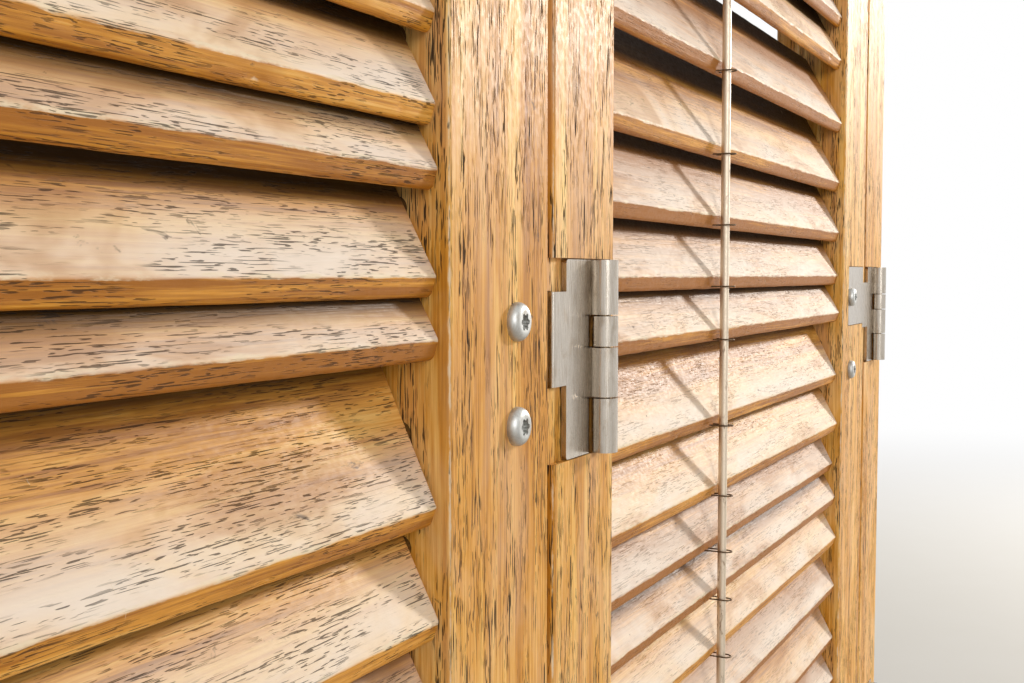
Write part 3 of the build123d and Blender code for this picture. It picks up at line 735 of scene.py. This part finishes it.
class SHUTTERS_OT_hardware(Operator):
    """Gives the hinges, screws and control rods their metal"""

    bl_idname = "shutters.hardware"
    bl_label = "Hardware"

    def execute(self, context):
        look = context.scene.shutter_metal
        nickel = brushed_metal("satin_nickel_hinge", look, look.nickel, roughness=0.23,
                               brushed=0.012 * MM, tarnished=0.6)
        pin = brushed_metal("satin_nickel_pin", look, look.tarnish, roughness=0.30,
                            brushed=0.004 * MM, tarnished=0.2)
        zinc = brushed_metal("zinc_plated_screw", look, look.zinc, roughness=0.46,
                             brushed=0.004 * MM, tarnished=0.55)
        rod = dull_galvanised("galvanised_rod", look.galvanised, look.oxide, share=0.35)
        for names, metal in ((HINGES, nickel), (PINS, pin), (SCREWS, zinc), (RODS, rod)):
            for name in names:
                dress(name, metal)
        return {"FINISHED"}


class SHUTTERS_OT_stage(Operator):
    """Sets up the floor, the lamps, the surround and the camera"""

    bl_idname = "shutters.stage"
    bl_label = "Stage"

    def execute(self, context):
        look = context.scene.shutter_stage
        self.lay_floor(look)
        self.light(context, look)
        self.place_camera(context, look)
        context.scene.view_settings.view_transform = "Standard"
        return {"FINISHED"}

    def lay_floor(self, look):
        """A square floor under the frame that turns into the white surround away from the object."""
        level = CAD_BOX[0][2]
        corners = np.array([(x * look.floor_half, y * look.floor_half, level)
                            for x, y in ((-1, -1), (1, -1), (1, 1), (-1, 1))])
        floor = mesh_object("floor", corners, [np.array([[0, 1, 2, 3]])])
        material, tree, place = empty_material("painted_floor")
        noise = patterns_in(tree, place, {"mottle": ((0.05, 0.05, 0.05), 3, 0.6, 0)})
        distance = add(tree, "ShaderNodeVectorMath", {0: place}, operation="LENGTH").outputs["Value"]
        made = add_each(tree, "ShaderNodeMapRange", RAMP, {
            "rough": (noise["mottle"], 0.3, 0.7, 0.62, 0.78),
            "far": (distance, 0.9, 2.6, 0.0, 1.0),
        }, **SMOOTH)
        shader = add(tree, "ShaderNodeBsdfPrincipled", {
            "Base Color": look.floor, "Roughness": made["rough"], "IOR": 1.5})
        mixed = white_when_seen(tree, shader, made["far"])
        add(tree, "ShaderNodeOutputMaterial", {"Surface": mixed})
        floor.data.materials.append(material)

    def light(self, context, look):
        """A small warm key lamp low on the right, a broad fill from the left and an even surround."""
        # Name, place in metres, width, watts and colour.
        lamps = (("key", (2.1, -1.0, 0.64), look.key_width, look.key_power, look.lamp),
                 ("fill", (-1.6, -2.2, 0.9), look.fill_width, look.fill_power, WHITE))
        for name, place, size, power, colour in lamps:
            lamp = bpy.data.lights.new(name, "AREA")
            lamp.shape, lamp.size, lamp.energy, lamp.color = "DISK", size, power, colour[:3]
            item = bpy.data.objects.new(name, lamp)
            item.location = place
            back = np.array(place) / np.linalg.norm(place)
            item.rotation_euler = (math.acos(back[2]), 0, math.atan2(back[1], back[0]) + math.pi / 2)
            context.scene.collection.objects.link(item)
        world = bpy.data.worlds.new("even_surround")
        world.use_nodes = True
        tree = world.node_tree
        tree.nodes.clear()
        even = add(tree, "ShaderNodeBackground", {"Color": WHITE, "Strength": look.surround})
        mixed = white_when_seen(tree, even, 1.0)
        add(tree, "ShaderNodeOutputWorld", {"Surface": mixed})
        context.scene.world = world

    def place_camera(self, context, look):
        """A level-headed camera close to the leaves, looking along them."""
        camera = bpy.data.cameras.new("camera")
        camera.lens, camera.sensor_width, camera.sensor_fit = look.focal_length, 36.0, "HORIZONTAL"
        camera.clip_start, camera.clip_end = 0.01, 50.0
        item = bpy.data.objects.new("camera", camera)
        item.location = look.camera_place
        item.rotation_euler = (math.pi / 2 - look.camera_pitch, 0, look.camera_heading - math.pi / 2)
        context.scene.collection.objects.link(item)
        context.scene.camera = item


class SHUTTERS_PT_panel(Panel):
    """Buttons and values of the shutters"""

    bl_idname = "SHUTTERS_PT_panel"
    bl_label = "Louvred shutters"
    bl_space_type = "VIEW_3D"
    bl_region_type = "UI"
    bl_category = "Shutters"

    def draw(self, context):
        for operator in OPERATORS:
            self.layout.operator(operator.bl_idname)
        for title in SETTINGS:
            group = getattr(context.scene, title)
            box = self.layout.box()
            for key in group.__annotations__:
                box.prop(group, key)


SETTINGS = {"shutter_slats": SlatSizes, "shutter_eyes": RodEyeSizes, "shutter_wood": WoodLook,
            "shutter_metal": MetalLook, "shutter_stage": StageLook}
OPERATORS = (SHUTTERS_OT_woodwork, SHUTTERS_OT_hardware, SHUTTERS_OT_slats, SHUTTERS_OT_rod_eyes,
             SHUTTERS_OT_stage)


def register():
    for kind in (*SETTINGS.values(), *OPERATORS, SHUTTERS_PT_panel):
        bpy.utils.register_class(kind)
    for title, kind in SETTINGS.items():
        setattr(bpy.types.Scene, title, PointerProperty(type=kind))


def unregister():
    for title in SETTINGS:
        delattr(bpy.types.Scene, title)
    for kind in (SHUTTERS_PT_panel, *OPERATORS[::-1], *tuple(SETTINGS.values())[::-1]):
        bpy.utils.unregister_class(kind)


def main():
    """Builds everything in order."""
    register()
    bpy.ops.shutters.woodwork()
    bpy.ops.shutters.hardware()
    bpy.ops.shutters.slats()
    bpy.ops.shutters.rod_eyes()
    bpy.ops.shutters.stage()


if __name__ == "__main__":
    main()
